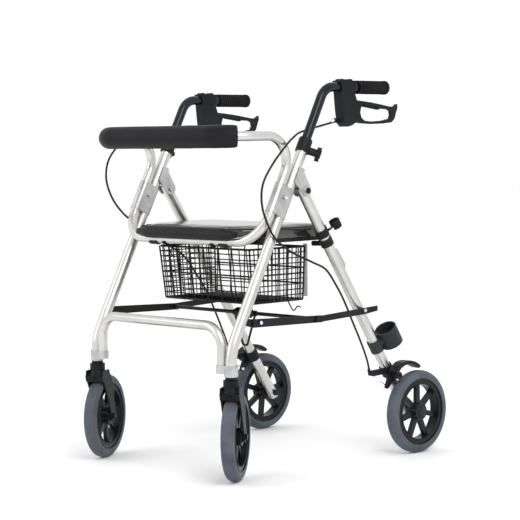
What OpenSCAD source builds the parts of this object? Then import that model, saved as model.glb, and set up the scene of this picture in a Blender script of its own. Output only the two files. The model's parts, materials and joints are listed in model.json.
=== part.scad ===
// Four-wheeled rollator walker: folding tube frame, seat, backrest, wire basket,
// hand brakes, two swivelling castors in front and two braked wheels behind.
// Millimetres, +Z up. The walking direction is -Y; the walker's left is +X.

/* [Frame] */
// Half the distance between the left and right tube planes
half_w = 232.6; // [200:0.2:260]
// Outside diameter of the legs
leg_d = 25.4; // [20:0.2:32]
// Outside diameter of the seat and backrest loop
loop_d = 22; // [18:0.5:28]
// Height of the top end of each front leg
leg_top = 750; // [700:1:800]
// Height of the backrest tube
back_z = 769; // [720:1:820]

/* [Handles] */
// Height of the left grip
grip_z = 881; // [800:1:960]
// Distance the right handle is pushed further down its leg
right_drop = 22.6; // [0:0.2:80]
// Diameter of the handle tubes
handle_d = 22.2; // [18:0.1:24]

/* [Seat] */
// Height of the seat top
seat_top = 567; // [500:1:620]
// Half the width of the seat
seat_half = 208; // [180:1:215]
// Diameter of the backrest pad
pad_d = 52; // [40:1:70]

/* [Basket] */
// Height of the basket floor
basket_low = 383; // [340:1:420]
// Height of the basket rim
basket_high = 510; // [480:1:520]
// Wire diameter of the basket rim
rim_wire = 5; // [3:0.5:8]

/* [Wheels] */
// Radius of all four wheels
wheel_r = 100; // [80:1:120]
// Width of the tyres
tyre_w = 32; // [24:1:40]
// Radius where the tyre sits on the rim
rim_r = 79; // [60:1:85]
// Swivel angle of the left castor
left_swivel = 34.5; // [0:0.5:360]
// Swivel angle of the right castor
right_swivel = 27; // [0:0.5:360]
// Trail of the castors
trail = 40; // [25:1:55]

/* [Hidden] */
$fn = 64;
mid_x = 10.55;
mid_y = -1.45;
slope = 0.5255;
along = [0, 0.46517, 0.88522];
knob_along = [0.70711, 0.62595, -0.32892];
rear_along = [0, 0.54651, -0.83745];
hinge = [-83, 644];
seat_axis = [-220.5, 531];
axle = [272, 100];
castor_y = -313;
saddle_bolt = [-153.6, 630.1];
brace_front_at = [-239, 355];
brace_mid_at = [-49, 348];
brace_rear_at = [104, 357];
crank_at = [203, 194];
lever_at = [80, 826];
body_half = 14;
lever_half = 4.5;
grip_y0 = 98;
grip_y1 = 200;
cable_d = 5;
lap = 0.3;
stick_offset = [13.3, 30.7, 20];
far_slide = [0, -right_drop * along[1], -right_drop * along[2]];

function leg_y(z) = -159 + slope * (z - 588);
function loop_y(z) = leg_y(z) - 31.5;
function rear_y(z) = hinge[0] + 0.65259 * (hinge[1] - z);
function unit(v) = v / norm(v);
function turn(u, v) = acos(max(-1, min(1, u * v)));
function setback(p, r, i) =
    (i == 0 || i == len(p) - 1) ? 0
    : r[i] * tan(turn(unit(p[i] - p[i - 1]), unit(p[i + 1] - p[i])) / 2);
function mid_point(p, i, t) =
    let (a = p[max(0, i - 1)], b = p[i], c = p[i + 1], d = p[min(len(p) - 1, i + 2)])
    0.5 * ((2 * b) + (c - a) * t + (2 * a - 5 * b + 4 * c - d) * t * t
    + (3 * b - a - 3 * c + d) * t * t * t);
function curve(p, n) = [
    for (i = [0:len(p) - 2]) for (k = [0:n - 1]) mid_point(p, i, k / n),
    p[len(p) - 1]
];

// Hand-routed brake cable points, left side
upper_route = [
    [224, 39.3, 801.3], [219, 2, 793], [216, -40, 784], [218, -75, 776],
    [236, -112, 766], [250, -150, 748], [250, -195, 705], [250, -226, 660],
    [250, -228, 612], [250, -207, 564], [250, -183, 534]
];
lower_route = [
    [250, -181.6, 533.2], [254, -139, 506], [258, -78, 481], [258, -34, 462],
    [256, 1, 425], [248, 37, 385], [241, 72, 335], [240, 102, 283],
    [241, 122, 240], [243, 128, 214]
];
// Right side
far_upper_route = [
    [-224, 28.8, 781.3], [-216, -12, 772], [-213, -60, 768], [-217, -90, 765],
    [-234, -108, 763], [-250, -145, 766], [-250, -205, 760], [-250, -250, 722],
    [-250, -262, 675], [-250, -246, 628], [-250, -212, 588], [-250, -166, 556]
];
far_lower_route = [
    [-250, -164.8, 555.2], [-254, -108, 522], [-258, -52, 498], [-258, -3, 468],
    [-256, 31, 425], [-248, 55, 385], [-241, 77, 335], [-240, 102, 283],
    [-241, 122, 240], [-243, 128, 214]
];

module placed() {
    translate([mid_x, mid_y, 0]) children();
}

// Right-hand copy of something drawn for the left
module right() {
    mirror([1, 0, 0]) children();
}

// Puts the drawing plane on Y and Z and extrudes towards +X from x
module yz(x, y, z) {
    multmatrix([[0, 0, 1, x], [1, 0, 0, y], [0, 1, 0, z], [0, 0, 0, 1]]) children();
}

// Local Z along d, starting at a; local X stays along world X where it can
module lay(a, d) {
    w = unit(d);
    u = abs(w[0]) > 0.9 ? unit(cross([0, 1, 0], w)) : unit(cross(cross(w, [1, 0, 0]), w));
    v = cross(w, u);
    multmatrix([
        [u[0], v[0], w[0], a[0]],
        [u[1], v[1], w[1], a[1]],
        [u[2], v[2], w[2], a[2]],
        [0, 0, 0, 1]
    ]) children();
}

module rod(a, b, d) {
    lay(a, b - a) cylinder(d = d, h = norm(b - a));
}

// Round bar through corner points p, each corner bent to radius r[i]
module pipe(p, r, d) {
    for (i = [0:len(p) - 2]) {
        u = unit(p[i + 1] - p[i]);
        from = p[i] + u * (setback(p, r, i) - (i > 0 ? lap : 0));
        to = p[i + 1] - u * (setback(p, r, i + 1) - (i < len(p) - 2 ? lap : 0));
        rod(from, to, d);
    }
    for (i = [1:len(p) - 2]) {
        bend(p, r, i) circle(d = d - 0.04);
    }
}

// Sweeps the drawing children around corner i of the path
module bend(p, r, i) {
    u = unit(p[i] - p[i - 1]);
    v = unit(p[i + 1] - p[i]);
    a = turn(u, v);
    w = unit(v - (u * v) * u);
    n = cross(u, w);
    c = p[i] - u * setback(p, r, i) + w * r[i];
    multmatrix([
        [-w[0], u[0], n[0], c[0]],
        [-w[1], u[1], n[1], c[1]],
        [-w[2], u[2], n[2], c[2]],
        [0, 0, 0, 1]
    ]) rotate_extrude(angle = a) translate([r[i], 0]) children();
}

// Hand-routed cable: an eight-sided tube swept along the smoothed points
module cable(points) {
    q = curve(points, 2);
    n = len(q);
    m = 8;
    rings = [
        for (i = [0:n - 1])
            let (t = unit(q[min(n - 1, i + 1)] - q[max(0, i - 1)]))
            let (u = unit(cross(t, [1, 0, 0])))
            let (v = cross(t, u))
            for (k = [0:m - 1]) q[i] + cable_d / 2 * (cos(360 * k / m) * u + sin(360 * k / m) * v)
    ];
    walls = [
        for (i = [0:n - 2]) for (k = [0:m - 1])
            [i * m + k, i * m + (k + 1) % m, (i + 1) * m + (k + 1) % m, (i + 1) * m + k]
    ];
    start_cap = [[for (k = [0:m - 1]) m - 1 - k]];
    end_cap = [[for (k = [0:m - 1]) (n - 1) * m + k]];
    polyhedron(points = rings, faces = concat(walls, start_cap, end_cap));
}

// Sleeve around a leg at centre c along direction d, outside radius ro
module sleeve(c, d, ro, ri, h) {
    lay(c - unit(d) * h / 2, d) difference() {
        cylinder(r = ro, h = h);
        translate([0, 0, -1]) cylinder(r = ri, h = h + 2);
    }
}

// Leg centre line, from the castor end up to the top
function leg_path() = [
    [half_w, castor_y, 239],
    [half_w, castor_y, 588 + (castor_y + 159) / slope],
    [half_w, leg_y(leg_top), leg_top]
];

module front_leg() {
    bore_low = [half_w, leg_y(400), 400];
    bore_end = [half_w, leg_y(leg_top + 8), leg_top + 8];
    color([0.85, 0.85, 0.87]) difference() {
        pipe(leg_path(), [0, 120, 0], leg_d);
        rod(bore_low, bore_end, handle_d + 0.1);
        translate([half_w, castor_y, 230]) cylinder(d = handle_d + 0.1, h = 33);
    }
}

module leg_left() {
    front_leg();
}

module leg_right() {
    right() front_leg();
}

function half_loop(s) = [
    [0, seat_axis[0], seat_axis[1]],
    [s * half_w, seat_axis[0], seat_axis[1]],
    [s * half_w, -133, 588 + (-133 + 190.5) / slope],
    [s * half_w, -133, back_z],
    [s * half_w, -303, back_z],
    [0, -303, back_z]
];

module seat_loop() {
    color([0.82, 0.82, 0.84]) {
        pipe(half_loop(1), [0, 72, 50, 58, 75, 0], loop_d);
        pipe(half_loop(-1), [0, 72, 50, 58, 75, 0], loop_d);
    }
}

module lower_cross_tube() {
    p = [[-207, -316, 250], [-207, -316, 349], [207, -316, 349], [207, -316, 250]];
    color([0.8, 0.8, 0.82]) pipe(p, [0, 50, 50, 0], loop_d);
}

// One corner of the pad, swept over angle a on side s
module pad_arc(s, a, d) {
    translate([s * (half_w - 75), -228, back_z]) rotate([0, 0, s > 0 ? -90 : 270 - a])
        rotate_extrude(angle = a) translate([75, 0]) circle(d = d);
}

module pad_bar(a, d, arc_d) {
    translate([-(half_w - 75) - lap, -303, back_z]) rotate([0, 90, 0])
        cylinder(d = d, h = 2 * (half_w - 75 + lap));
    pad_arc(1, a, arc_d);
    pad_arc(-1, a, arc_d);
}

module backrest_pad() {
    color([0.1, 0.1, 0.11]) difference() {
        pad_bar(55, pad_d, pad_d - 0.04);
        pad_bar(57, loop_d + 0.06, loop_d + 0.1);
    }
}

// Pressed saddle joining one leg and the loop, trimmed along its lower edge
module loop_saddle() {
    c = [half_w, leg_y(616), 616];
    q = c - 27.9 * [0, 0.88522, -0.46517];
    difference() {
        union() {
            lay(c - along * 36, along) cylinder(r = leg_d / 2 + 1.6, h = 72);
            lay(q - along * 36, along) cylinder(r = loop_d / 2 + 1.6, h = 72);
            lay(c - along * 36, along) translate([-13.4, -27.9, 0]) saddle_web();
        }
        rod(c - along * 60, c + along * 60, leg_d);
        rod(q - along * 60, q + along * 60, loop_d + 0.3);
        yz(half_w - 40, -230, 540) linear_extrude(80) polygon([[0, 0], [90, 0], [90, 30], [0, 62]]);
    }
}

module saddle_web() {
    cube([26.8, 27.9, 72]);
}

module loop_brackets() {
    color([0.86, 0.86, 0.88]) {
        saddle_half();
        right() saddle_half();
    }
}

module saddle_half() {
    difference() {
        loop_saddle();
        yz(half_w - 30, saddle_bolt[0], saddle_bolt[1]) cylinder(d = 4.1, h = 60);
    }
    yz(half_w - 17, saddle_bolt[0], saddle_bolt[1]) cylinder(d = 4, h = 34);
    for (x = [half_w - 17.4, half_w + 13.4]) {
        yz(x, saddle_bolt[0], saddle_bolt[1]) cylinder(d = 9, h = 4);
    }
}

// Two cheeks and a web behind the leg that carry the rear-leg hinge
module hinge_cheeks() {
    for (x = [half_w - 15.7, half_w + 13.2]) {
        difference() {
            union() {
                yz(x, hinge[0], hinge[1]) cylinder(r = 14, h = 2.5);
                yz(x, 0, 0) linear_extrude(2.5) polygon([
                    [-94.6, 636.4], [-71.4, 651.6], [-97, 696],
                    [-106, 698], [-122, 666], [-116, 658]
                ]);
            }
            yz(x - 1, hinge[0], hinge[1]) cylinder(d = 8.1, h = 6);
        }
    }
    difference() {
        yz(half_w - 14, 0, 0) linear_extrude(28)
            polygon([[-115, 655], [-107, 650], [-87, 691], [-94, 696]]);
        rod([half_w, leg_y(580), 580], [half_w, leg_y(720), 720], leg_d);
    }
}

module hinge_side() {
    hinge_cheeks();
    yz(half_w - 19.7, hinge[0], hinge[1]) cylinder(d = 8, h = 39.4);
    for (x = [half_w - 19.7, half_w + 15.7]) {
        yz(x, hinge[0], hinge[1]) cylinder(d = 15, h = 4);
    }
}

module hinge_brackets() {
    color([0.7, 0.71, 0.73]) {
        hinge_side();
        right() hinge_side();
    }
}

// Black plastic collar at the leg top with the boss for the clamp knob
module leg_collar() {
    c = [half_w, leg_y(745), 745];
    n = knob_along;
    b = [half_w, leg_y(739), 739];
    difference() {
        union() {
            lay(c - along * 15, along) cylinder(r = 16.2, h = 30);
            lay(c + along * 12, along) cylinder(r = 15, h = 6);
            lay(b, n) cylinder(r = 9, h = 31);
        }
        rod(c - along * 40, [half_w, leg_y(leg_top), leg_top], leg_d);
        rod(c - along * 4, c + along * 30, handle_d + 0.1);
        lay(b + 12 * n, n) cylinder(d = 8.1, h = 30);
    }
}

module leg_collar_left() {
    color([0.1, 0.1, 0.11]) leg_collar();
}

module leg_collar_right() {
    color([0.1, 0.1, 0.11]) right() leg_collar();
}

// Three-lobed clamp knob on its screw, pointing back and outwards from the leg
module knob() {
    n = knob_along;
    b = [half_w, leg_y(739), 739];
    lay(b + 14 * n, n) cylinder(d = 8, h = 26);
    lay(b + 31.4 * n, n) {
        cylinder(r = 10, h = 12);
        for (a = [90, 210, 330]) {
            rotate([0, 0, a]) {
                translate([0, -4.5, 1]) cube([13, 9, 10]);
                translate([13, 0, 1]) cylinder(r = 5.5, h = 10);
            }
        }
    }
}

module clamp_knob_left() {
    color([0.08, 0.08, 0.09]) knob();
}

module clamp_knob_right() {
    color([0.08, 0.08, 0.09]) right() knob();
}

module castor_socket() {
    translate([half_w, castor_y, 233]) difference() {
        union() {
            cylinder(r = 13.4, h = 6);
            cylinder(d = handle_d + 0.1, h = 30);
        }
        translate([0, 0, -1]) cylinder(d = 12.1, h = 40);
    }
}

module castor_sockets() {
    color([0.15, 0.15, 0.16]) {
        castor_socket();
        right() castor_socket();
    }
}

// Casting that holds the lower cross tube beside the leg foot
module lower_clamp() {
    difference() {
        union() {
            translate([half_w, castor_y, 240]) cylinder(r = 15.5, h = 24);
            translate([207, -316, 246]) cylinder(r = 13.2, h = 18);
            translate([208, -327, 246]) cube([26, 22, 18]);
        }
        translate([half_w, castor_y, 230]) cylinder(d = leg_d, h = 50);
        translate([207, -316, 250]) cylinder(d = loop_d, h = 50);
    }
}

module lower_clamps() {
    color([0.75, 0.76, 0.78]) {
        lower_clamp();
        right() lower_clamp();
    }
}

// Lug behind each front leg with the pin of the front brace
module brace_lug() {
    p = brace_front_at;
    difference() {
        yz(half_w + 4, 0, 0) linear_extrude(9)
            polygon([[-272, 360], [-262, 364], [-231, 361], [-231, 349], [-256, 345], [-274, 350]]);
        rod([half_w, leg_y(310), 310], [half_w, leg_y(400), 400], leg_d);
    }
    yz(half_w + 12, p[0], p[1]) cylinder(d = 6, h = 6);
    yz(half_w + 18, p[0], p[1]) cylinder(d = 10, h = 2.5);
}

module brace_lugs() {
    color([0.12, 0.12, 0.13]) {
        brace_lug();
        right() brace_lug();
    }
}

// Handle tube: straight in the leg, then bent back to carry the grip
module handle_tube() {
    top_y = leg_y(grip_z);
    p = [[half_w, leg_y(520), 520], [half_w, top_y, grip_z], [half_w, 199, grip_z]];
    color([0.05, 0.05, 0.07]) pipe(p, [0, 45, 0], handle_d);
}

module handle_tube_left() {
    handle_tube();
}

module handle_tube_right() {
    translate(far_slide) right() handle_tube();
}

module grip() {
    color([0.07, 0.07, 0.08]) translate([half_w, 0, grip_z]) rotate([-90, 0, 0]) grip_turned();
}

// Turned grip: soft sleeve with a raised rim at both ends and a closed end cap
module grip_turned() {
    difference() {
        union() {
            translate([0, 0, grip_y0 + 4]) cylinder(r = 14.5, h = 98);
            translate([0, 0, grip_y0 + 4]) cylinder(r = 16, h = 5);
            translate([0, 0, grip_y1 - 5]) cylinder(r = 16.5, h = 7);
            translate([0, 0, grip_y1 + 2]) cylinder(r1 = 16.5, r2 = 14, h = 2.5);
        }
        translate([0, 0, 50]) cylinder(d = handle_d, h = 149);
    }
}

module hand_grip_left() {
    grip();
}

module hand_grip_right() {
    translate(far_slide) right() grip();
}

// Brake housing clamped under the handle, slotted for the lever
module housing() {
    outline = [
        [36, 896], [87, 896], [83, 866], [95, 838], [93, 802], [72, 792],
        [58, 789], [48, 798], [43, 830]
    ];
    difference() {
        union() {
            yz(half_w - body_half, 0, 0) linear_extrude(2 * body_half) polygon(outline);
            for (y = [46, 74]) {
                yz(half_w - 9, y, 892) cylinder(r = 8, h = 18);
            }
        }
        translate([half_w, 20, grip_z]) rotate([-90, 0, 0]) cylinder(d = handle_d, h = 100);
        yz(half_w - lever_half - 0.6, 0, 0) linear_extrude(2 * lever_half + 1.2)
            polygon([[61, 780], [115, 780], [115, 858], [68, 858], [61, 846]]);
    }
    yz(half_w - 12, lever_at[0], lever_at[1]) cylinder(d = 5, h = 24);
    lay([224, 52, 807], [0, -0.9, -0.4]) cylinder(d = 7, h = 14);
}

module brake_body_left() {
    color([0.09, 0.09, 0.1]) housing();
}

module brake_body_right() {
    color([0.09, 0.09, 0.1]) translate(far_slide) right() housing();
}

// Closed-loop hand lever: one profile with the finger opening cut out
module lever() {
    outer = [
        [66, 838], [84, 852], [120, 849], [150, 846], [180, 842], [214, 837],
        [232, 836], [243, 843], [243, 833], [238, 822], [233, 808], [222, 799],
        [190, 796], [150, 795], [110, 797], [84, 806], [66, 816]
    ];
    inner = [
        [124, 841], [134, 837], [146, 838], [158, 834], [170, 835], [182, 831],
        [194, 831], [210, 830], [219, 826], [221, 816], [217, 808], [190, 803],
        [150, 801], [126, 803], [115, 810], [111, 822], [114, 834]
    ];
    yz(half_w - lever_half, 0, 0) difference() {
        linear_extrude(2 * lever_half) polygon(outer);
        translate([0, 0, -1]) linear_extrude(16) polygon(inner);
        translate([lever_at[0], lever_at[1], -1]) cylinder(d = 5.1, h = 16);
    }
}

module brake_lever_left() {
    color([0.06, 0.06, 0.07]) lever();
}

module brake_lever_right() {
    color([0.06, 0.06, 0.07]) translate(far_slide) right() lever();
}

module upper_cable_left() {
    color([0.1, 0.1, 0.1]) cable(upper_route);
}

module upper_cable_right() {
    color([0.1, 0.1, 0.1]) cable(far_upper_route);
}

module lower_cable_left() {
    color([0.1, 0.1, 0.1]) cable(lower_route);
}

module lower_cable_right() {
    color([0.1, 0.1, 0.1]) cable(far_lower_route);
}

// Rear leg from the hinge to the axle, flattened where the axle goes through
module rear_leg() {
    top = [half_w, hinge[0], hinge[1]] - 12 * rear_along;
    low = [half_w, axle[0], axle[1]] + 14 * rear_along;
    color([0.84, 0.84, 0.86]) difference() {
        rod(top, low, leg_d);
        yz(half_w - 20, hinge[0], hinge[1]) cylinder(d = 8.1, h = 40);
        yz(half_w - 20, axle[0], axle[1]) cylinder(d = 8, h = 40);
    }
}

module rear_leg_left() {
    rear_leg();
}

module rear_leg_right() {
    right() rear_leg();
}

module leg_plug() {
    top = [half_w, hinge[0], hinge[1]] - 12 * rear_along;
    low = [half_w, axle[0], axle[1]] + 14 * rear_along;
    lay(top - 3 * rear_along, rear_along) cylinder(r = 12.4, h = 3);
    lay(low, rear_along) cylinder(r = 12.4, h = 3);
    lay(low + 3 * rear_along, rear_along) cylinder(r1 = 12.4, r2 = 8, h = 5);
}

module leg_plugs() {
    color([0.1, 0.1, 0.1]) {
        leg_plug();
        right() leg_plug();
    }
}

module rear_axle() {
    yz(half_w - 19, axle[0], axle[1]) cylinder(d = 16, h = 6);
    yz(half_w - 15, axle[0], axle[1]) cylinder(d = 8, h = 66);
    yz(half_w + 13, axle[0], axle[1]) cylinder(d = 14, h = 6.3);
    yz(half_w + 50.3, axle[0], axle[1]) cylinder(d = 16, h = 2);
}

module rear_axles() {
    color([0.15, 0.15, 0.16]) {
        rear_axle();
        right() rear_axle();
    }
}

module seat_rest() {
    sleeve([half_w, rear_y(524), 524], rear_along, 15.6, leg_d / 2, 18);
    difference() {
        rod([half_w - 13, rear_y(524), 519.5], [190, rear_y(524), 518.5], 12);
        rod([half_w, rear_y(560), 560], [half_w, rear_y(460), 460], leg_d + 0.2);
    }
}

module seat_rests() {
    color([0.08, 0.08, 0.09]) {
        seat_rest();
        right() seat_rest();
    }
}

// Bracket on the rear leg with the cable stop and the pivot of the brake shoe
module brake_bracket() {
    c = [half_w, rear_y(205), 205];
    difference() {
        union() {
            lay(c - 13 * rear_along, rear_along) cylinder(r = 15.9, h = 26);
            yz(half_w + 8, 0, 0) linear_extrude(6) polygon([
                [128, 199], [140, 196], [186, 198], [196, 184],
                [210, 186], [211, 202], [186, 212], [134, 210]
            ]);
            yz(half_w + 5, crank_at[0], crank_at[1]) cylinder(r = 7.5, h = 10);
            yz(half_w + 7, crank_at[0], crank_at[1]) cylinder(d = 6, h = 21);
            lay([half_w + 9.4, 128, 214], [0, 0.25, -1]) cylinder(d = 7.5, h = 15);
        }
        rod(c - 80 * rear_along, c + 80 * rear_along, leg_d);
    }
}

module brake_bracket_left() {
    color([0.09, 0.09, 0.1]) brake_bracket();
}

module brake_bracket_right() {
    color([0.09, 0.09, 0.1]) right() brake_bracket();
}

// Crank and curved arm that comes down on the tread
module brake_shoe() {
    difference() {
        union() {
            yz(half_w + 16, 0, 0) linear_extrude(5)
                polygon([[176, 164], [184, 162], [212, 186], [214, 204], [202, 212], [192, 206], [178, 174]]);
            yz(half_w + 16, crank_at[0], crank_at[1]) cylinder(r = 9, h = 26);
            yz(half_w + 20, 0, 0) linear_extrude(24) polygon(arm_outline());
        }
        yz(half_w, crank_at[0], crank_at[1]) cylinder(d = 6.1, h = 60);
    }
}

function arm_outline() = [
    [194, 198], [205, 210], [217, 216], [230, 218.5], [243, 217], [257, 212],
    [272, 205.5], [277, 209], [276, 213], [260, 222], [244, 226.5], [229, 227.5],
    [212, 225], [198, 217], [188, 205]
];

module brake_shoe_left() {
    color([0.07, 0.07, 0.08]) brake_shoe();
}

module brake_shoe_right() {
    color([0.07, 0.07, 0.08]) right() brake_shoe();
}

// Open spring clip for a walking stick, on the left rear leg
module stick_clip() {
    c = [half_w, rear_y(545), 545];
    s = c + stick_offset;
    color([0.08, 0.08, 0.09]) {
        sleeve(c, rear_along, 15.4, leg_d / 2, 18);
        difference() {
            union() {
                lay(s - rear_along * 9, rear_along) cylinder(r = 13, h = 18);
                difference() {
                    rod(c, s, 14);
                    rod(c - 40 * rear_along, c + 40 * rear_along, leg_d);
                }
            }
            lay(s - rear_along * 20, rear_along) cylinder(r = 9.8, h = 40);
            lay(s - rear_along * 20, rear_along) rotate([0, 0, 113.5])
                translate([0, -7.5, 0]) cube([30, 15, 40]);
        }
    }
}

// Deep open cup for the foot of the stick
module stick_cup() {
    c = [half_w, rear_y(267), 267];
    s = c + 1.06 * stick_offset;
    color([0.09, 0.1, 0.11]) {
        difference() {
            union() {
                lay(c - rear_along * 15, rear_along) cylinder(r = 16.5, h = 30);
                lay(s - rear_along * 24, rear_along) cylinder(r = 27, h = 46);
                rod(c, s - rear_along * 2, 24);
            }
            rod(c - 60 * rear_along, c + 60 * rear_along, leg_d);
            lay(s - rear_along * 30, rear_along) cylinder(r = 23.5, h = 48);
        }
    }
}

// Wedge tab welded behind the left rear leg
module leg_gusset() {
    color([0.72, 0.73, 0.75]) difference() {
        yz(half_w - 1.5, 0, 0) linear_extrude(3)
            polygon([[12, 506], [30, 506], [58, 470], [57, 436], [44, 436]]);
        rod([half_w, rear_y(560), 560], [half_w, rear_y(400), 400], leg_d);
    }
}

module tyre_shape() {
    rotate_extrude() polygon([
        [rim_r, -14], [86, -tyre_w / 2], [93, -14.6], [97.4, -11], [99.4, -6.5],
        [wheel_r, 0], [99.4, 6.5], [97.4, 11], [93, 14.6], [86, tyre_w / 2], [rim_r, 14]
    ]);
}

// Rim ring, seven broad spokes and the hub barrel
module rim_shape(bore) {
    difference() {
        union() {
            difference() {
                cylinder(r = rim_r, h = 26, center = true);
                cylinder(r = 66, h = 30, center = true);
            }
            cylinder(r = 20, h = 30, center = true);
            for (k = [0:6]) {
                rotate([0, 0, 90 + k * 360 / 7]) translate([0, 0, -5]) linear_extrude(10)
                    polygon([[14, -7], [68, -6], [68, 6], [14, 7]]);
            }
        }
        cylinder(d = bore, h = 40, center = true);
    }
}

module rear_wheel_at() {
    yz(half_w + 35, axle[0], axle[1]) children();
}

module rear_tyre_left() {
    color([0.4, 0.43, 0.5]) rear_wheel_at() tyre_shape();
}

module rear_tyre_right() {
    color([0.4, 0.43, 0.5]) right() rear_wheel_at() tyre_shape();
}

module rear_hub_left() {
    color([0.08, 0.09, 0.1]) rear_wheel_at() rim_shape(8.1);
}

module rear_hub_right() {
    color([0.08, 0.09, 0.1]) right() rear_wheel_at() rotate([0, 0, 20]) rim_shape(8.1);
}

module castor_at(s) {
    translate([s * half_w, castor_y, 0]) rotate([0, 0, s > 0 ? left_swivel : right_swivel]) children();
}

// Fork in its own frame: swivel axis on Z, wheel trailing towards +Y
module fork() {
    side = [
        [-18, 216], [-20, 207], [-14, 190], [8, 150], [27, 108], [30, 92], [40, 87],
        [52, 94], [54, 106], [44, 150], [34, 190], [22, 207], [18, 216]
    ];
    difference() {
        union() {
            translate([0, 0, 215]) cylinder(r = 18, h = 17.5);
            translate([0, 0, 203]) cylinder(r1 = 22, r2 = 18.2, h = 12.4);
            translate([0, 0, 230]) cylinder(d = 12, h = 32);
            yz(-22.5, 0, 0) linear_extrude(4) polygon(side);
            yz(18.5, 0, 0) linear_extrude(4) polygon(side);
            yz(-22.5, 0, 0) linear_extrude(45)
                polygon([[-19, 204.5], [-15, 190], [-18, 189], [-23, 203.5]]);
            translate([-22.5, -16, 203.5]) cube([45, 34, 6]);
        }
        yz(-30, trail, wheel_r) cylinder(d = 8, h = 60);
    }
    yz(-24.5, trail, wheel_r) cylinder(d = 8, h = 49);
    yz(-27.5, trail, wheel_r) cylinder(d = 14, h = 5);
    yz(22.5, trail, wheel_r) cylinder(d = 14, h = 5);
    lay([0, -22, 196], [0, -1, -0.2]) cylinder(d = 6, h = 2.6);
}

module castor_fork_left() {
    color([0.12, 0.12, 0.13]) castor_at(1) fork();
}

module castor_fork_right() {
    color([0.12, 0.12, 0.13]) castor_at(-1) fork();
}

module castor_wheel_at(s) {
    castor_at(s) yz(0, trail, wheel_r) children();
}

module castor_tyre_left() {
    color([0.4, 0.43, 0.5]) castor_wheel_at(1) tyre_shape();
}

module castor_tyre_right() {
    color([0.4, 0.43, 0.5]) castor_wheel_at(-1) tyre_shape();
}

module castor_rim_left() {
    color([0.08, 0.09, 0.1]) castor_wheel_at(1) rotate([0, 0, 12]) rim_shape(8.1);
}

module castor_rim_right() {
    color([0.08, 0.09, 0.1]) castor_wheel_at(-1) rotate([0, 0, 31]) rim_shape(8.1);
}

// Soft seat cushion, corners set back where the loop bends up
module seat_cushion() {
    plan = [
        [-150, -233], [150, -233], [176, -205], [198, -180], [seat_half, -160], [seat_half, 24],
        [196, 37], [-196, 37], [-seat_half, 24], [-seat_half, -160], [-198, -180], [-176, -205]
    ];
    color([0.62, 0.6, 0.57]) {
        translate([0, 0, 542.4]) linear_extrude(seat_top - 542.4) polygon(plan);
        yz(-150, 0, 0) linear_extrude(300)
            polygon([[-246, 538], [-233, 532], [-233, 566], [-240, 562], [-246, 555]]);
    }
}

module seat_board() {
    color([0.1, 0.1, 0.1]) difference() {
        translate([-196, -204, 526]) cube([392, 234, 16.4]);
        for (s = [-1, 1]) {
            translate([s * 188 - 10, -214, 520]) cube([20, 34, 30]);
        }
    }
}

// Clips that hook the seat onto the crossbar from below
module seat_clip(x, w) {
    yz(x - w / 2, seat_axis[0], seat_axis[1]) rotate_extrude(angle = 150, start = -150)
        translate([11.3, 0]) square([3.2, w]);
}

module seat_clips() {
    color([0.12, 0.12, 0.13]) for (x = [-120, 120]) {
        seat_clip(x, 24);
        translate([x - 12, -209.2, 524]) cube([24, 5.2, 7.2]);
    }
}

function rim_points() = [
    [0, -178, basket_high], [155, -178, basket_high], [155, 3, basket_high],
    [-155, 3, basket_high], [-155, -178, basket_high], [0, -178, basket_high]
];

module basket() {
    color([0.06, 0.06, 0.06]) {
        translate([-150, -164, basket_low]) cube([300, 164, 3]);
        pipe(rim_points(), [0, 10, 10, 10, 10, 0], rim_wire);
        for (k = [0:6]) {
            rod([-144 + k * 48, -163, basket_low + 1], [-144 + k * 48, -178, basket_high], 3);
            rod([-144 + k * 48, -1, basket_low + 1], [-144 + k * 48, 3, basket_high], 3);
        }
        for (k = [0:4]) {
            rod([149, -146 + k * 32, basket_low + 1], [155, -150 + k * 33, basket_high], 3);
            rod([-149, -146 + k * 32, basket_low + 1], [-155, -150 + k * 33, basket_high], 3);
        }
        for (x = [-82, 82]) {
            seat_clip(x, 8);
            rod([x, -207.6, 527], [x, -178, basket_high], 4);
        }
    }
}

// Flat upright strip at the left rear corner of the basket
module basket_strip() {
    color([0.75, 0.75, 0.75]) translate([148, 5.6, 392]) cube([12, 2, 124]);
}

// Front halves of the two folding braces
module brace_front() {
    a = brace_front_at;
    b = brace_mid_at;
    color([0.08, 0.08, 0.09]) for (s = [0, 1]) {
        mirror([s, 0, 0]) difference() {
            yz(half_w + 13.6, 0, 0) linear_extrude(3.6) polygon([
                a + [-20, 9], b + [12, 8], b + [12, -8], a + [-20, -10]
            ]);
            yz(half_w, a[0], a[1]) cylinder(d = 6.1, h = 30);
            yz(half_w, b[0], b[1]) cylinder(d = 6, h = 30);
        }
    }
}

module cross_rod() {
    color([0.1, 0.1, 0.1]) {
        yz(-half_w - 17.2, brace_mid_at[0], brace_mid_at[1]) cylinder(d = 6, h = 2 * half_w + 34.4);
        yz(-half_w - 13.6, brace_mid_at[0], brace_mid_at[1]) cylinder(d = 9, h = 2 * half_w + 27.2);
    }
}

module rod_grip() {
    color([0.09, 0.09, 0.1]) difference() {
        yz(-22, brace_mid_at[0], brace_mid_at[1]) cylinder(r = 12, h = 44);
        yz(-30, brace_mid_at[0], brace_mid_at[1]) cylinder(d = 9, h = 60);
    }
}

// Wire loop hanging from the rod
module pull_loop() {
    y = brace_mid_at[0];
    p = [[-30, y, 343], [-3, y, 270], [11, y, 270], [38, y, 343]];
    color([0.05, 0.05, 0.05]) {
        difference() {
            union() {
                pipe(p, [0, 6, 6, 0], 5.5);
                for (x = [-33.5, 34.5]) {
                    yz(x, y, brace_mid_at[1]) cylinder(r = 7, h = 7);
                }
            }
            yz(-60, y, brace_mid_at[1]) cylinder(d = 9, h = 160);
        }
    }
}

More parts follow.
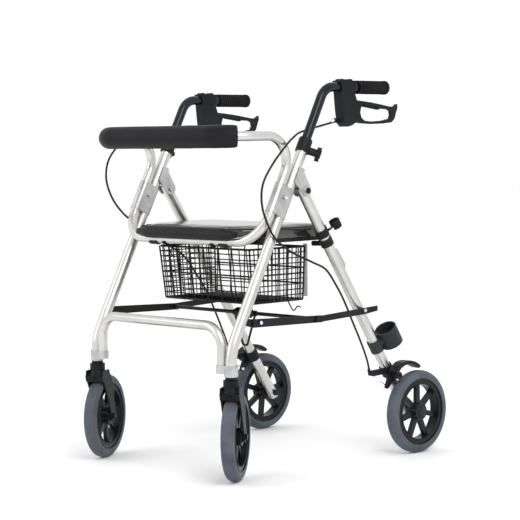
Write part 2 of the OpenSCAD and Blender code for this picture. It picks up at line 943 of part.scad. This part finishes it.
// Rear halves of the braces, just outside the front halves
module brace_rear() {
    a = brace_mid_at;
    b = brace_rear_at;
    color([0.08, 0.08, 0.09]) for (s = [0, 1]) {
        mirror([s, 0, 0]) difference() {
            yz(half_w + 17.8, 0, 0) linear_extrude(3.6) polygon([
                a + [-12, 7], b + [44, 8], b + [44, -4], b + [0, -9], a + [-12, -7]
            ]);
            yz(half_w, b[0], b[1]) cylinder(d = 6.1, h = 30);
        }
    }
}

placed() leg_left();
placed() leg_right();
placed() seat_loop();
placed() lower_cross_tube();
placed() backrest_pad();
placed() loop_brackets();
placed() hinge_brackets();
placed() leg_collar_left();
placed() leg_collar_right();
placed() castor_sockets();
placed() lower_clamps();
placed() brace_lugs();
placed() handle_tube_left();
placed() handle_tube_right();
placed() hand_grip_left();
placed() hand_grip_right();
placed() brake_body_left();
placed() brake_body_right();
placed() brake_lever_left();
placed() brake_lever_right();
placed() clamp_knob_left();
placed() clamp_knob_right();
placed() upper_cable_left();
placed() upper_cable_right();
placed() lower_cable_left();
placed() lower_cable_right();
placed() rear_leg_left();
placed() rear_leg_right();
placed() leg_plugs();
placed() rear_axles();
placed() seat_rests();
placed() brake_bracket_left();
placed() brake_bracket_right();
placed() brake_shoe_left();
placed() brake_shoe_right();
placed() stick_clip();
placed() stick_cup();
placed() leg_gusset();
placed() rear_tyre_left();
placed() rear_tyre_right();
placed() rear_hub_left();
placed() rear_hub_right();
placed() castor_fork_left();
placed() castor_fork_right();
placed() castor_tyre_left();
placed() castor_tyre_right();
placed() castor_rim_left();
placed() castor_rim_right();
placed() seat_cushion();
placed() seat_board();
placed() seat_clips();
placed() basket();
placed() basket_strip();
placed() brace_front();
placed() cross_rod();
placed() rod_grip();
placed() pull_loop();
placed() brace_rear();
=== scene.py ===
import bpy
import bmesh
import json
import math
from mathutils import Matrix, Vector


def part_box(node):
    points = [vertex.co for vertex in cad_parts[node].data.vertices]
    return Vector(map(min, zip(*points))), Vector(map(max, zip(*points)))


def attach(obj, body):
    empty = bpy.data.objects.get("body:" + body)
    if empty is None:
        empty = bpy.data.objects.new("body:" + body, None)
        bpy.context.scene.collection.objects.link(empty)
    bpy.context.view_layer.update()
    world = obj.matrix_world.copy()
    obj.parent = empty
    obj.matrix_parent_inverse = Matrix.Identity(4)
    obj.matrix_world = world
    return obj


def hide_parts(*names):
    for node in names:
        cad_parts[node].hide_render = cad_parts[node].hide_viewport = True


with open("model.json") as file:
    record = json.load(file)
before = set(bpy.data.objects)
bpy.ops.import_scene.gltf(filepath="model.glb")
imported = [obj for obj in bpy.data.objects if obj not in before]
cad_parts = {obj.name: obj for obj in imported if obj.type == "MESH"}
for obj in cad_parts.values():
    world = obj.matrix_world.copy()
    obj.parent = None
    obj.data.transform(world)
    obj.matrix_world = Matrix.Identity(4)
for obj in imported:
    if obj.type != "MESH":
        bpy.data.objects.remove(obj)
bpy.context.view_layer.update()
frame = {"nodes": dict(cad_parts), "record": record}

# ---------------------------------------------------------------- measures

# MID_X and MID_Y are where the walker's own origin lies in the CAD frame. HALF_W is half the
# distance between the leg centre lines, in millimetres. FAR_DROP is how much lower the right
# handle stands in its leg.
MM = 0.001
MID_X = 10.55 * MM
MID_Y = -1.45 * MM
HALF_W = 232.6
LEG_DIR = Vector((0.0, 0.46517, 0.88522))
FAR_DROP = LEG_DIR * -22.6 * MM


def at(x, y, z):
    """A point of the walker, in millimetres from its middle plane."""
    return Vector((x * MM + MID_X, y * MM + MID_Y, z * MM))


def sided(point, side):
    """The same point on the left (+1) or the right (-1) of the middle plane."""
    return Vector((MID_X + side * (point.x - MID_X), point.y, point.z))


# ---------------------------------------------------------------- materials


def new_tree(name):
    mat = bpy.data.materials.new(name)
    mat.use_nodes = True
    nodes = mat.node_tree.nodes
    links = mat.node_tree.links
    return mat, nodes, links, nodes["Principled BSDF"]


def noise(nodes, links, scale, detail=4.0, stretch=(1, 1, 1)):
    coords = nodes.new("ShaderNodeTexCoord")
    mapping = nodes.new("ShaderNodeMapping")
    mapping.inputs["Scale"].default_value = stretch
    texture = nodes.new("ShaderNodeTexNoise")
    texture.inputs["Scale"].default_value = scale
    texture.inputs["Detail"].default_value = detail
    links.new(coords.outputs["Object"], mapping.inputs["Vector"])
    links.new(mapping.outputs["Vector"], texture.inputs["Vector"])
    return texture.outputs["Fac"]


def ramp(nodes, links, source, low, high, start=0.35, end=0.65):
    node = nodes.new("ShaderNodeValToRGB")
    node.color_ramp.elements[0].position = start
    node.color_ramp.elements[1].position = end
    node.color_ramp.elements[0].color = (*low, 1)
    node.color_ramp.elements[1].color = (*high, 1)
    links.new(source, node.inputs["Fac"])
    return node.outputs["Color"]


def spread(nodes, links, source, low, high):
    node = nodes.new("ShaderNodeMapRange")
    node.inputs["To Min"].default_value = low
    node.inputs["To Max"].default_value = high
    links.new(source, node.inputs["Value"])
    return node.outputs["Result"]


def bump(nodes, links, source, strength, depth):
    node = nodes.new("ShaderNodeBump")
    node.inputs["Strength"].default_value = strength
    node.inputs["Distance"].default_value = depth
    links.new(source, node.inputs["Height"])
    return node.outputs["Normal"]


def finish_of(name, dark, light, rough, metal=0.0, grain=900.0, patch=14.0, relief=0.15,
              depth=0.0002, stretch=(1, 1, 1), coat=0.0, sheen=0.0, gloss=0.5):
    """A material with patchy colour, patchy gloss and a fine surface grain."""
    mat, nodes, links, shader = new_tree(name)
    shader.inputs["Metallic"].default_value = metal
    shader.inputs["Coat Weight"].default_value = coat
    shader.inputs["Coat Roughness"].default_value = 0.06
    shader.inputs["Sheen Weight"].default_value = sheen
    shader.inputs["Specular IOR Level"].default_value = gloss
    patches = noise(nodes, links, patch, 5.0)
    fine = noise(nodes, links, grain, 3.0, stretch)
    links.new(ramp(nodes, links, patches, dark, light), shader.inputs["Base Color"])
    links.new(spread(nodes, links, patches, rough[0], rough[1]), shader.inputs["Roughness"])
    links.new(bump(nodes, links, fine, relief, depth), shader.inputs["Normal"])
    return mat


def leather(name, dark, light, rough, pebble, relief, sheen=0.0, gloss=0.5):
    """Skinned foam or vinyl: small rounded pebbles over soft patches."""
    mat, nodes, links, shader = new_tree(name)
    shader.inputs["Sheen Weight"].default_value = sheen
    shader.inputs["Specular IOR Level"].default_value = gloss
    coords = nodes.new("ShaderNodeTexCoord")
    cells = nodes.new("ShaderNodeTexVoronoi")
    cells.inputs["Scale"].default_value = pebble
    links.new(coords.outputs["Object"], cells.inputs["Vector"])
    patches = noise(nodes, links, 9.0, 5.0)
    links.new(ramp(nodes, links, patches, dark, light), shader.inputs["Base Color"])
    links.new(spread(nodes, links, patches, rough[0], rough[1]), shader.inputs["Roughness"])
    links.new(bump(nodes, links, cells.outputs["Distance"], relief, 0.0003), shader.inputs["Normal"])
    return mat


MATERIALS = {
    "frame_silver": finish_of("anodised_tube", (0.55, 0.545, 0.53), (0.64, 0.635, 0.62), (0.26, 0.38),
                              metal=1.0, grain=500, stretch=(1, 1, 0.06), relief=0.06),
    "bracket_zinc": finish_of("zinc_plate", (0.42, 0.42, 0.42), (0.56, 0.56, 0.56), (0.28, 0.46),
                              metal=1.0, grain=700, stretch=(0.2, 1, 1), relief=0.12, patch=40),
    "handle_black": finish_of("black_lacquer", (0.004, 0.005, 0.010), (0.010, 0.012, 0.022), (0.10, 0.18),
                              grain=400, relief=0.03, coat=0.12, gloss=0.2),
    "black_steel": finish_of("black_coating", (0.005, 0.005, 0.006), (0.012, 0.012, 0.014), (0.32, 0.48),
                             grain=1400, relief=0.18, gloss=0.18),
    "black_plastic": finish_of("black_moulding", (0.004, 0.005, 0.006), (0.010, 0.011, 0.013), (0.36, 0.52),
                               grain=2200, relief=0.30, gloss=0.16),
    "cup_plastic": finish_of("cup_moulding", (0.016, 0.019, 0.023), (0.030, 0.034, 0.040), (0.38, 0.55),
                             grain=1800, relief=0.35, gloss=0.2),
    "hub_black": finish_of("hub_moulding", (0.004, 0.006, 0.007), (0.010, 0.013, 0.015), (0.22, 0.40),
                           grain=1600, relief=0.16, gloss=0.2),
    "tyre_grey": finish_of("tyre_rubber", (0.056, 0.063, 0.078), (0.090, 0.102, 0.124), (0.42, 0.62),
                           grain=1500, relief=0.30, patch=22, gloss=0.25),
    "grip_rubber": finish_of("grip_rubber", (0.006, 0.006, 0.007), (0.014, 0.014, 0.015), (0.5, 0.7),
                             grain=2600, relief=0.4, gloss=0.12),
    "cable_black": finish_of("cable_sheath", (0.008, 0.008, 0.008), (0.018, 0.018, 0.019), (0.28, 0.42),
                             grain=1800, relief=0.15, gloss=0.15),
    "pad_foam": leather("foam_skin", (0.005, 0.005, 0.006), (0.011, 0.011, 0.013), (0.42, 0.58), 900, 0.35,
                        gloss=0.12),
    "seat_vinyl": leather("seat_vinyl", (0.018, 0.016, 0.015), (0.032, 0.029, 0.028), (0.10, 0.15), 700, 0.02,
                          gloss=0.8),
    "basket_wire": finish_of("coated_wire", (0.006, 0.006, 0.007), (0.016, 0.016, 0.017), (0.26, 0.40),
                             grain=1500, relief=0.1, gloss=0.15),
}
BLACK_VINYL = leather("seat_edge_vinyl", (0.007, 0.007, 0.008), (0.015, 0.015, 0.017), (0.36, 0.5), 800,
                      0.3, gloss=0.16)
STEEL = finish_of("bright_steel", (0.55, 0.55, 0.57), (0.75, 0.75, 0.77), (0.16, 0.30), metal=1.0, grain=900,
                  relief=0.05)
PALE_STRIP = finish_of("pale_strip", (0.52, 0.52, 0.53), (0.62, 0.62, 0.63), (0.35, 0.5), grain=1500, relief=0.1)


def paint_frame():
    """Every CAD node takes the finish of its slot."""
    slots = {entry["node"]: entry["material_slot"] for entry in frame["record"]["subparts"]}
    for name, obj in frame["nodes"].items():
        mat = PALE_STRIP if name == "basket_strip" else MATERIALS[slots[name]]
        if not obj.material_slots:
            obj.data.materials.append(mat)
        for material_slot in obj.material_slots:
            material_slot.link = "OBJECT"
            material_slot.material = mat


# ---------------------------------------------------------------- mesh helpers


def add(name, bm, slot, body, mat=None, smooth=True):
    mesh = bpy.data.meshes.new(name)
    bmesh.ops.recalc_face_normals(bm, faces=bm.faces)
    bm.to_mesh(mesh)
    bm.free()
    obj = bpy.data.objects.new(name, mesh)
    bpy.context.scene.collection.objects.link(obj)
    obj.data.materials.append(mat or MATERIALS[slot])
    if smooth:
        for face in mesh.polygons:
            face.use_smooth = True
    if body:
        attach(obj, body)
    return obj


def basis(direction):
    """Two directions square to this one."""
    d = direction.normalized()
    helper = Vector((1, 0, 0)) if abs(d.x) < 0.9 else Vector((0, 1, 0))
    u = d.cross(helper).normalized()
    return u, d.cross(u)


def sweep(bm, points, radius, sides=10, closed=False, caps=True):
    """A round bar along the points, its frame carried along without twist."""
    count = len(points)
    rings = []
    u = None
    for i, point in enumerate(points):
        before = points[i - 1] if i > 0 or closed else points[0]
        after = points[(i + 1) % count] if i < count - 1 or closed else points[-1]
        tangent = (after - before).normalized()
        if u is None:
            u = basis(tangent)[0]
        u = (u - tangent * u.dot(tangent)).normalized()
        v = tangent.cross(u)
        r = radius[i] if isinstance(radius, list) else radius
        ring = []
        for k in range(sides):
            angle = 2 * math.pi * k / sides
            ring.append(bm.verts.new(point + (u * math.cos(angle) + v * math.sin(angle)) * r))
        rings.append(ring)
    last = count if closed else count - 1
    for i in range(last):
        a = rings[i]
        b = rings[(i + 1) % count]
        for k in range(sides):
            bm.faces.new((a[k], a[(k + 1) % sides], b[(k + 1) % sides], b[k]))
    if caps and not closed:
        bm.faces.new(list(reversed(rings[0])))
        bm.faces.new(rings[-1])


def turned(bm, profile, origin, axis, steps=40):
    """Revolves (along, radius) points round an axis through origin; both ends are closed."""
    u, v = basis(axis)
    d = axis.normalized()
    rings = []
    for along, r in profile:
        ring = []
        for k in range(steps):
            angle = 2 * math.pi * k / steps
            ring.append(bm.verts.new(origin + d * along + (u * math.cos(angle) + v * math.sin(angle)) * r))
        rings.append(ring)
    for a, b in zip(rings, rings[1:]):
        for k in range(steps):
            bm.faces.new((a[k], a[(k + 1) % steps], b[(k + 1) % steps], b[k]))
    bm.faces.new(list(reversed(rings[0])))
    bm.faces.new(rings[-1])


def smooth_path(points, steps=8):
    """Catmull-Rom curve through the points."""
    out = []
    for i in range(len(points) - 1):
        p0 = points[max(i - 1, 0)]
        p1, p2 = points[i], points[i + 1]
        p3 = points[min(i + 2, len(points) - 1)]
        for k in range(steps):
            t = k / steps
            out.append(0.5 * (2 * p1 + (p2 - p0) * t + (2 * p0 - 5 * p1 + 4 * p2 - p3) * t * t
                              + (3 * p1 - p0 - 3 * p2 + p3) * t ** 3))
    out.append(points[-1])
    return out


# ---------------------------------------------------------------- soft parts

BACK_Z = 769
PAD_R = 26 * MM
CORNER_R = 75
CORNER_Y = -228


def pad_route():
    """Centre line of the backrest pad: the front run and part of both corners."""
    side = HALF_W - CORNER_R
    sweep_angle = math.radians(55)
    right = [at(-side - CORNER_R * math.sin(a), CORNER_Y - CORNER_R * math.cos(a), BACK_Z)
             for a in [sweep_angle * (1 - k / 10) for k in range(11)]]
    front = [at(-side + 2 * side * k / 24, CORNER_Y - CORNER_R, BACK_Z) for k in range(1, 24)]
    left = [at(side + CORNER_R * math.sin(a), CORNER_Y - CORNER_R * math.cos(a), BACK_Z)
            for a in [sweep_angle * k / 10 for k in range(11)]]
    return right + front + left


def make_backrest():
    """Skinned foam sleeve with rounded rims and a dished face where the tube comes out."""
    route = pad_route()
    ends = [(0.0008, 0.46), (0.0, 0.56), (0.0003, 0.90), (0.003, 0.975), (0.009, 1.0)]
    first = (route[1] - route[0]).normalized()
    last = (route[-1] - route[-2]).normalized()
    start = [route[0] + first * d for d, s in ends[:-1]]
    stop = [route[-1] - last * d for d, s in reversed(ends[:-1])]
    points = start + route[2:-2] + stop
    rim = [PAD_R * s for d, s in ends[:-1]]
    radii = rim + [PAD_R] * len(route[2:-2]) + rim[::-1]
    bm = bmesh.new()
    sweep(bm, points, radii, sides=40)
    pad = add("backrest_foam", bm, "pad_foam", None)
    texture = bpy.data.textures.new("foam_waves", "CLOUDS")
    texture.noise_scale = 0.06
    sub = pad.modifiers.new("smooth", "SUBSURF")
    sub.levels = 1
    sub.render_levels = 1
    waves = pad.modifiers.new("waves", "DISPLACE")
    waves.texture = texture
    waves.strength = 0.0012
    waves.mid_level = 0.5
    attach(pad, "front_frame")
    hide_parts("backrest_pad")


SEAT_TOP = 567
SEAT_LOW = 543
SEAT_FRONT = -233
NOSE_Z = 547


def seat_outline(inset=0.0, corner=26):
    """Half the plan of the seat, as points from the front middle to the rear middle."""
    half = 208 - inset
    points = [(0, SEAT_FRONT + inset), (150 - inset, SEAT_FRONT + inset), (172 - inset, -214 + inset),
              (192 - inset, -186 + inset), (half, -160 + inset)]
    rear = 37 - inset
    for k in range(7):
        a = math.pi / 2 * k / 6
        points.append((half - corner + corner * math.cos(a), rear - corner + corner * math.sin(a)))
    points.append((0, rear))
    return points


def full_outline(inset=0.0):
    half = seat_outline(inset)
    return half + [(-x, y) for x, y in reversed(half[1:-1])]


def prism(bm, outline, low, high):
    bottom = [bm.verts.new(at(x, y, low)) for x, y in outline]
    top = [bm.verts.new(at(x, y, high)) for x, y in outline]
    count = len(outline)
    for k in range(count):
        bm.faces.new((bottom[k], bottom[(k + 1) % count], top[(k + 1) % count], top[k]))
    bm.faces.new(list(reversed(bottom)))
    bm.faces.new(top)


def puff(obj, pressure, cap, voxel=0.006):
    """Inflates the closed mesh with a short cloth run and keeps each point within cap."""
    bpy.context.view_layer.objects.active = obj
    obj.select_set(True)
    remesh = obj.modifiers.new("remesh", "REMESH")
    remesh.mode = "VOXEL"
    remesh.voxel_size = voxel
    bpy.ops.object.modifier_apply(modifier="remesh")
    rest = [v.co.copy() for v in obj.data.vertices]
    cloth = obj.modifiers.new("cloth", "CLOTH")
    cloth.settings.use_pressure = True
    cloth.settings.uniform_pressure_force = pressure
    cloth.settings.effector_weights.gravity = 0.0
    cloth.settings.quality = 4
    cloth.point_cache.frame_start = 1
    cloth.point_cache.frame_end = 20
    for step in range(1, 21):
        bpy.context.scene.frame_set(step)
    bpy.ops.object.modifier_apply(modifier="cloth")
    bpy.context.scene.frame_set(1)
    for vertex, old in zip(obj.data.vertices, rest):
        move = vertex.co - old
        if move.length > cap:
            vertex.co = old + move.normalized() * cap
    obj.select_set(False)


def make_seat():
    """Upholstered seat: crowned pad down over the board, rolled nose in front and a piped seam."""
    bm = bmesh.new()
    prism(bm, full_outline(5), SEAT_LOW - 11, SEAT_TOP - 6)
    pad = add("seat_pad", bm, "seat_vinyl", None)
    puff(pad, 4.0, 0.005)
    smooth = pad.modifiers.new("soft", "SMOOTH")
    smooth.iterations = 6
    smooth.factor = 0.5
    sub = pad.modifiers.new("sub", "SUBSURF")
    sub.levels = 1
    sub.render_levels = 1
    over_bar = at(0, -204, SEAT_LOW + 1)
    for vertex in pad.data.vertices:
        if vertex.co.y < over_bar.y:
            vertex.co.z = max(vertex.co.z, over_bar.z)
    for face in pad.data.polygons:
        face.use_smooth = True
    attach(pad, "seat")
    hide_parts("seat_cushion")

    bm = bmesh.new()
    route = [at(x, y, SEAT_TOP - 8) for x, y in full_outline(2.0)]
    sweep(bm, smooth_path(route + [route[0]], 4)[:-1], 1.3 * MM, sides=8, closed=True)
    add("seat_piping", bm, "pad_foam", "seat", BLACK_VINYL)

    bm = bmesh.new()
    profile = [(SEAT_FRONT, 562), (-238, 561), (-243, 556), (-246, 549), (-246, 541), (-243, 535), (-238, 533),
               (-233.5, 534)]
    rows = []
    for k in range(35):
        x = -170 + 10 * k
        pinch = 1 - 0.55 * max(0, abs(x) - 130) / 40
        rows.append([bm.verts.new(at(x, SEAT_FRONT + (y - SEAT_FRONT) * pinch, NOSE_Z + (z - NOSE_Z) * pinch))
                     for y, z in profile])
    for a, b in zip(rows, rows[1:]):
        for i in range(len(profile) - 1):
            bm.faces.new((a[i], a[i + 1], b[i + 1], b[i]))
        bm.faces.new((a[-1], a[0], b[0], b[-1]))
    bm.faces.new(rows[0])
    bm.faces.new(list(reversed(rows[-1])))
    nose = add("seat_nose", bm, "pad_foam", "seat", BLACK_VINYL)


# ---------------------------------------------------------------- basket

BASKET_LOW = 386
BASKET_HIGH = 510


def basket_point(u, v, t):
    """u across from -1 to 1, v from front 0 to rear 1, t from floor 0 to rim 1."""
    x = u * (150 + 5 * t)
    front = -164 - 14 * t
    rear = 3 * t
    return at(x, front + (rear - front) * v, BASKET_LOW + (BASKET_HIGH - BASKET_LOW) * t)


def make_basket_mesh():
    """The fine wires: mesh on both sides and in front, three rails behind, a dense floor."""
    bm = bmesh.new()
    thin = 1.4 * MM
    rows = 10
    for side in (-1, 1):
        for k in range(1, 13):
            sweep(bm, [basket_point(side, k / 13, 0), basket_point(side, k / 13, 1)], thin, sides=6)
        for v in (0, 1):
            sweep(bm, [basket_point(side, v, 0), basket_point(side, v, 1)], 2.0 * MM, sides=8)
    for k in range(1, 9):
        u = -1 + 2 * k / 9
        sweep(bm, [basket_point(u, 0, 0), basket_point(u, 0, 1)], thin, sides=6)
    for k in range(rows):
        t = k / rows
        bar = 2.0 * MM if k in (0, 5) else thin
        corners = [basket_point(u, v, t) for u, v in ((-1, 1), (-1, 0), (1, 0), (1, 1))]
        for a, b in zip(corners, corners[1:]):
            sweep(bm, [a, b], bar, sides=6)
        if k in (0, 3, 6):
            sweep(bm, [corners[-1], corners[0]], 2.0 * MM, sides=6)
    for k in range(1, 20):
        u = -1 + 2 * k / 20
        sweep(bm, [basket_point(u, 0, 0.015), basket_point(u, 1, 0.015)], thin, sides=6)
    add("basket_mesh", bm, "basket_wire", "seat")

    bm = bmesh.new()
    hooks = [
        [at(-96, -180, 512), at(-96, -190, 508), at(-96, -194, 498), at(-96, -188, 488), at(-96, -182, 486)],
        [at(157, -60, 512), at(160, -60, 505), at(160, -60, 488), at(157, -60, 478)],
        [at(151, -50, 384), at(151, -38, 366), at(151, -30, 361), at(151, -18, 370), at(151, -8, 366)],
    ]
    for hook in hooks:
        sweep(bm, smooth_path(hook, 6), 1.6 * MM, sides=8)
    add("basket_hooks", bm, "basket_wire", "seat")


# ---------------------------------------------------------------- wheels


def make_wheel_trim(name, node, body, axis):
    """Domed hub caps and two bead lines on each flank."""
    low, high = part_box(node)
    centre = (Vector(low) + Vector(high)) / 2
    axis = Vector(axis).normalized()
    u, v = basis(axis)
    bm = bmesh.new()
    for face in (-1, 1):
        cap = [(14.0 * MM, 15 * MM), (16.0 * MM, 14.4 * MM), (17.2 * MM, 12 * MM), (17.6 * MM, 8 * MM)]
        turned(bm, [(face * a, r) for a, r in cap], centre, axis, 32)
    add(name + "_hub_cap", bm, "hub_black", body)
    bm = bmesh.new()
    for face in (-1, 1):
        for radius, bar in ((79 * MM, 1.1 * MM), (68.5 * MM, 1.6 * MM)):
            offset = 14.6 * MM if radius > 70 * MM else 13.0 * MM
            ring = [centre + axis * face * offset
                    + (u * math.cos(a) + v * math.sin(a)) * radius
                    for a in [2 * math.pi * k / 72 for k in range(72)]]
            sweep(bm, ring, bar, sides=8, closed=True)
    add(name + "_bead", bm, "hub_black", body)


def wheels():
    make_wheel_trim("rear_left", "rear_hub_left", "rear_wheel_left", (1, 0, 0))
    make_wheel_trim("rear_right", "rear_hub_right", "rear_wheel_right", (1, 0, 0))
    for joint in frame["record"]["behaviour"]["joints"]:
        if joint["name"].startswith("castor_wheel_spin_"):
            side = joint["name"].rsplit("_", 1)[1]
            make_wheel_trim("castor_" + side, "castor_rim_" + side, "castor_wheel_" + side, joint["axis"])


# ---------------------------------------------------------------- handles

GRIP_R = 14.9
GRIP_Z = 881


def make_handle_trim(side, shift, label):
    """Ribs round the grip, finger ridges under the lever and the cable ferrule."""
    body = "handle_" + label

    def put(x, y, z):
        return sided(at(x, y, z), side) + shift

    bm = bmesh.new()
    for k in range(11):
        y = 113 + k * 7.5
        ring = [put(HALF_W + GRIP_R * math.cos(a), y, GRIP_Z + GRIP_R * math.sin(a))
                for a in [2 * math.pi * j / 36 for j in range(36)]]
        sweep(bm, ring, 1.2 * MM, sides=8, closed=True)
    add("grip_ribs_" + label, bm, "grip_rubber", body)

    bm = bmesh.new()
    for k in range(6):
        y = 130 + k * 9
        z = 838.2 - k * 1.2
        sweep(bm, [put(227.4, y, z - 0.8), put(237.8, y, z - 0.8)], 2.6 * MM, sides=12)
    add("lever_ridges_" + label, bm, "black_plastic", "lever_" + label)

    bm = bmesh.new()
    ferrule = [(0, 2.6), (1, 4.2), (9, 4.2), (10, 3.4), (15, 3.4), (16, 2.4)]
    mouth = put(222, 40, 807)
    turned(bm, [(along * MM, r * MM) for along, r in ferrule], mouth, (put(222, 20, 798) - mouth).normalized(), 24)
    add("cable_ferrule_" + label, bm, "bracket_zinc", body, STEEL)


UPPER_LEFT = [
    (224, 39.3, 801.3), (219, 2, 793), (216, -40, 784), (218, -75, 776), (236, -112, 766), (250, -150, 748),
    (250, -195, 705), (250, -226, 660), (250, -228, 612), (250, -207, 564), (250, -183, 534),
]
LOWER_LEFT = [
    (250, -181.6, 533.2), (254, -139, 506), (258, -78, 481), (258, -34, 462), (256, 1, 425), (248, 37, 385),
    (241, 72, 335), (240, 102, 283), (241, 122, 240), (243, 128, 214),
]
UPPER_RIGHT = [
    (-224, 28.8, 781.3), (-216, -12, 772), (-213, -60, 768), (-217, -90, 765), (-234, -108, 763),
    (-250, -145, 766), (-250, -205, 760), (-250, -250, 722), (-250, -262, 675), (-250, -246, 628),
    (-250, -212, 588), (-250, -166, 556),
]
LOWER_RIGHT = [
    (-250, -164.8, 555.2), (-254, -108, 522), (-258, -52, 498), (-258, -3, 468), (-256, 31, 425),
    (-248, 55, 385), (-241, 77, 335), (-240, 102, 283), (-241, 122, 240), (-243, 128, 214),
]
CABLE_D = 5 * MM


def make_cable(node, route, body):
    """One length of brake cable housing, as a smooth tube along the CAD route."""
    path = smooth_path([at(*point) for point in route], 8)
    bm = bmesh.new()
    sweep(bm, path, CABLE_D / 2, sides=12)
    cable = add(node + "_housing", bm, "cable_black", body)
    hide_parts(node)


def make_brake_trim(side, label):
    """Bright inner wire between the cable stop and the crank, with its clamp screw."""
    bm = bmesh.new()
    wire = [sided(at(*point), side) for point in ((243, 130, 205), (247, 156, 186), (250, 182, 169))]
    sweep(bm, wire, 0.9 * MM, sides=8)
    turned(bm, [(-3 * MM, 3.2 * MM), (-2.4 * MM, 4.0 * MM), (2.4 * MM, 4.0 * MM), (3 * MM, 3.2 * MM)],
           sided(at(246.5, 182, 169), side), Vector((1, 0, 0)), 20)
    add("brake_wire_" + label, bm, "bracket_zinc", "rear_frame", STEEL)


def make_screws():
    """Socket heads on the saddle bolts, hinges and brace pins."""
    groups = {"front_frame": [], "rear_frame": [], "brace_front_pair": [], "hinges": []}
    for side in (1, -1):
        groups["front_frame"].append((sided(at(250.0, -153.6, 630.1), side), Vector((side, 0, 0)), 4.2))
        groups["hinges"].append((sided(at(252.3, -83, 644), side), Vector((side, 0, 0)), 6.8))
        groups["front_frame"].append((sided(at(253.1, -239, 355), side), Vector((side, 0, 0)), 4.6))
        groups["rear_frame"].append((sided(at(254.0, 104, 357), side), Vector((side, 0, 0)), 4.8))
    groups["brace_front_pair"].append((at(0, -60.0, 348), Vector((0, -1, 0)), 4.4))
    for body, screws in groups.items():
        bm = bmesh.new()
        for origin, axis, radius in screws:
            r = radius * MM
            profile = [(-0.2 * MM, r), (1.4 * MM, r), (2.2 * MM, r * 0.86), (2.2 * MM, r * 0.52),
                       (0.8 * MM, r * 0.46)]
            turned(bm, profile, origin, axis, 24)
        if body == "hinges":
            add("hinge_caps", bm, "black_plastic", "front_frame")
        else:
            add("socket_heads_" + body, bm, "bracket_zinc", body, STEEL)


# ---------------------------------------------------------------- stage

CAMERA_AT = (3.06355, -2.97945, 0.757)
CAMERA_TURN = 45.64
CAMERA_DIP = 3.83
CAMERA_ROLL = -0.663
LENS = 122.6


def make_camera():
    turn = math.radians(CAMERA_TURN)
    dip = math.radians(CAMERA_DIP)
    roll = math.radians(CAMERA_ROLL)
    back = Vector((math.sin(turn) * math.cos(dip), -math.cos(turn) * math.cos(dip), math.sin(dip)))
    level = (-back).cross(Vector((0, 0, 1))).normalized()
    up = back.cross(level)
    right = level * math.cos(roll) + up * math.sin(roll)
    top = up * math.cos(roll) - level * math.sin(roll)
    data = bpy.data.cameras.new("camera")
    data.lens = LENS
    data.sensor_width = 36
    camera = bpy.data.objects.new("camera", data)
    matrix = Matrix((right, top, back)).transposed().to_4x4()
    matrix.translation = Vector(CAMERA_AT)
    camera.matrix_world = matrix
    bpy.context.scene.collection.objects.link(camera)
    bpy.context.scene.camera = camera


def make_stage():
    """Pale floor, soft sky and two large soft lights."""
    mat, nodes, links, shader = new_tree("studio_floor")
    shader.inputs["Roughness"].default_value = 0.85
    links.new(ramp(nodes, links, noise(nodes, links, 3.0), (0.95, 0.95, 0.95), (0.965, 0.965, 0.965)),
              shader.inputs["Base Color"])
    bm = bmesh.new()
    size = 30.0
    square = ((-size, -size), (size, -size), (size, size), (-size, size))
    bm.faces.new([bm.verts.new((x, y, -0.0002)) for x, y in square])
    mesh = bpy.data.meshes.new("floor")
    bm.to_mesh(mesh)
    bm.free()
    floor = bpy.data.objects.new("floor", mesh)
    mesh.materials.append(mat)
    bpy.context.scene.collection.objects.link(floor)

    world = bpy.data.worlds.new("studio")
    world.use_nodes = True
    sky = world.node_tree.nodes["Background"]
    sky.inputs["Color"].default_value = (1, 1, 1, 1)
    sky.inputs["Strength"].default_value = 1.04
    bpy.context.scene.world = world
    bpy.context.scene.view_settings.view_transform = "Standard"
    for name, place, target, size, power in (
        ("key", (2.6, -1.2, 2.6), (0, 0, 0.4), 1.6, 42),
        ("fill", (-1.6, -2.8, 1.8), (0, 0, 0.5), 2.0, 22),
    ):
        light = bpy.data.lights.new(name, "AREA")
        light.size = size
        light.energy = power
        lamp = bpy.data.objects.new(name, light)
        lamp.location = place
        lamp.rotation_euler = (Vector(target) - Vector(place)).to_track_quat("-Z", "Y").to_euler()
        bpy.context.scene.collection.objects.link(lamp)


# ---------------------------------------------------------------- build

make_camera()
make_stage()
paint_frame()
make_backrest()
make_seat()
make_basket_mesh()
wheels()
make_handle_trim(1, Vector((0, 0, 0)), "left")
make_handle_trim(-1, FAR_DROP, "right")
make_cable("upper_cable_left", UPPER_LEFT, "handle_left")
make_cable("lower_cable_left", LOWER_LEFT, "rear_frame")
make_cable("upper_cable_right", UPPER_RIGHT, "handle_right")
make_cable("lower_cable_right", LOWER_RIGHT, "rear_frame")
make_brake_trim(1, "left")
make_brake_trim(-1, "right")
make_screws()
